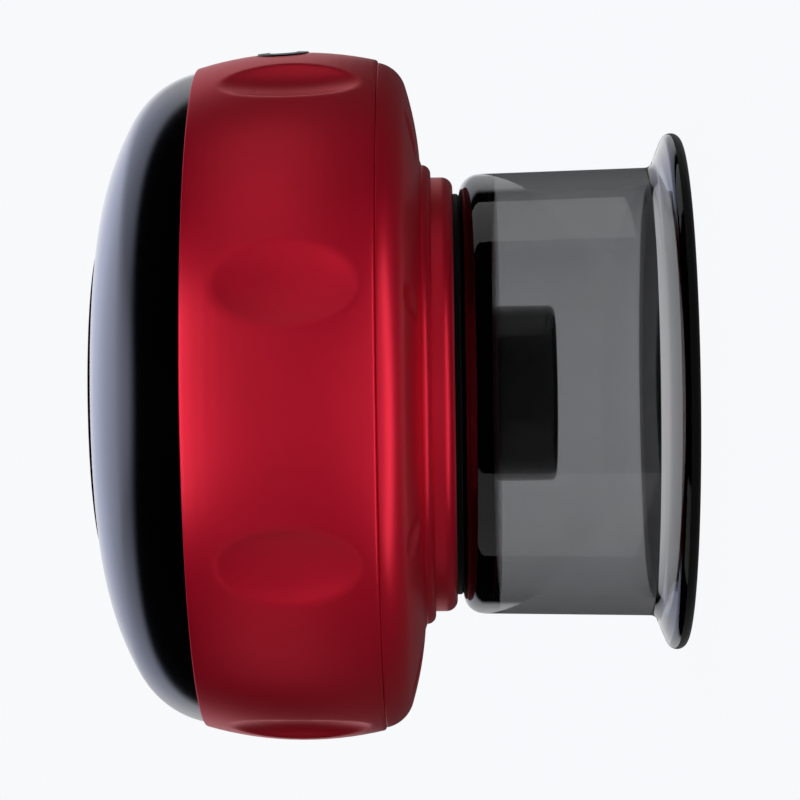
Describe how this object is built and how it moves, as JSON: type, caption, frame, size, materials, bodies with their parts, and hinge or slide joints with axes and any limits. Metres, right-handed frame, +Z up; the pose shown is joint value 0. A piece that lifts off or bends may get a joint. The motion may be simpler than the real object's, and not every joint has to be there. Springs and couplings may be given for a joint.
{
  "type": "electric cupping massager",
  "caption": "Round electric vacuum cupping massager: domed control top over a dimpled barrel housing, with a nozzle that seals into a clear flanged cup.",
  "frame": {"origin": "centre of the cup's rim plane", "axes": "+Z up the axis from the cup rim to the domed control top, +X towards the charge port"},
  "size_m": [0.0849, 0.0848, 0.0715],
  "materials": {
    "smoke_cup": "clear smoke-grey polycarbonate, polished",
    "housing_red": "satin metallic red lacquer",
    "dome_black": "polished black",
    "disc_black": "polished black",
    "key_black": "satin black",
    "window_smoke": "dark display window",
    "trim_black": "fine satin",
    "nozzle_black": "polished black",
    "lens_red": "clear dark red",
    "lamp_red": "moulded lamp",
    "seal_rubber": "matt silicone rubber",
    "filter_foam": "open-cell foam",
    "circuit_board": "solder mask over glass laminate",
    "chip_black": "moulded epoxy",
    "display_white": "moulded display body",
    "lead_insulation": "soft insulation",
    "chassis_black": "moulded, fine texture",
    "plastic_white": "moulded acetal",
    "hose_silicone": "milky silicone",
    "cell_wrap": "shrink wrap",
    "plated_steel": "nickel plated",
    "screw_steel": "zinc plated",
    "magnet_grey": "sintered ferrite",
    "winding_copper": "enamelled copper wire"
  },
  "bodies": {
    "cup": {"cup": "smoke_cup"},
    "housing": {"seal_ring": "seal_rubber", "nozzle": "nozzle_black", "nozzle_o_ring": "seal_rubber", "nozzle_lens": "lens_red", "red_lamps": "lamp_red", "lamp_board": "circuit_board", "dust_filter": "filter_foam", "lamp_leads": "lead_insulation", "lower_shell": "housing_red", "upper_shell": "housing_red", "charge_port_bezel": "trim_black", "usb_socket": "plated_steel", "charge_board": "circuit_board", "charge_leads": "lead_insulation", "chassis": "chassis_black", "case_screws": "screw_steel", "inner_screws": "screw_steel", "battery_cell": "cell_wrap", "battery_tabs": "plated_steel", "battery_strap": "plated_steel", "battery_leads": "lead_insulation", "motor_can": "plated_steel", "motor_end_bell": "plastic_white", "motor_magnets": "magnet_grey", "motor_sleeve": "seal_rubber", "motor_leads": "lead_insulation", "crankcase": "chassis_black", "diaphragm": "seal_rubber", "valve_plate": "plastic_white", "pump_head": "plastic_white", "pump_screws": "screw_steel", "nozzle_hose": "hose_silicone", "pump_hose": "hose_silicone", "sensor_hose": "hose_silicone", "hose_tee": "plastic_white", "pressure_sensor": "plastic_white", "valve_hose": "hose_silicone", "valve_port_block": "plastic_white", "valve_frame": "plated_steel", "valve_coil": "winding_copper", "valve_spring": "screw_steel", "main_board": "circuit_board", "board_chips": "chip_black", "tact_switches": "chip_black", "display_module": "display_white", "dome_cover": "dome_black", "control_disc": "disc_black", "display_window": "window_smoke"},
    "rotor": {"rotor_shaft": "screw_steel", "armature": "winding_copper", "commutator": "winding_copper", "eccentric": "plastic_white"},
    "rocker": {"rocker": "plastic_white"},
    "plunger": {"valve_plunger": "screw_steel"},
    "power_key": {"power_key": "key_black"},
    "level_key": {"level_key": "key_black"},
    "mode_key": {"mode_key": "key_black"}
  },
  "joints": [
    {"name": "housing_lift", "type": "slide", "parent": "cup", "child": "housing", "axis": [0, 0, 1], "range_m": [0, 0.035]},
    {"name": "power_key_press", "type": "slide", "parent": "housing", "child": "power_key", "axis": [0, 0, -1], "range_m": [0, 0.0004], "stiffness_N_per_m": 800, "springref_m": -0.0006},
    {"name": "level_key_press", "type": "slide", "parent": "housing", "child": "level_key", "axis": [0, 0, -1], "range_m": [0, 0.0004], "stiffness_N_per_m": 800, "springref_m": -0.0006},
    {"name": "mode_key_press", "type": "slide", "parent": "housing", "child": "mode_key", "axis": [0, 0, -1], "range_m": [0, 0.0004], "stiffness_N_per_m": 800, "springref_m": -0.0006},
    {"name": "motor_spin", "type": "hinge", "parent": "housing", "child": "rotor", "pos_m": [-0.0095, 0, 0.048], "axis": [0, 1, 0], "continuous": true},
    {"name": "rocker_orbit", "type": "hinge", "parent": "rotor", "child": "rocker", "pos_m": [-0.0088, 0, 0.048], "axis": [0, 1, 0], "continuous": true},
    {"name": "valve_lift", "type": "slide", "parent": "housing", "child": "plunger", "axis": [0, 0, 1], "range_m": [0, 0.0012], "stiffness_N_per_m": 120, "springref_m": -0.002, "deforming": ["valve_spring"]}
  ],
  "couplings": [
    {"joint": "rocker_orbit", "follows": "motor_spin", "ratio": -1}
  ]
}
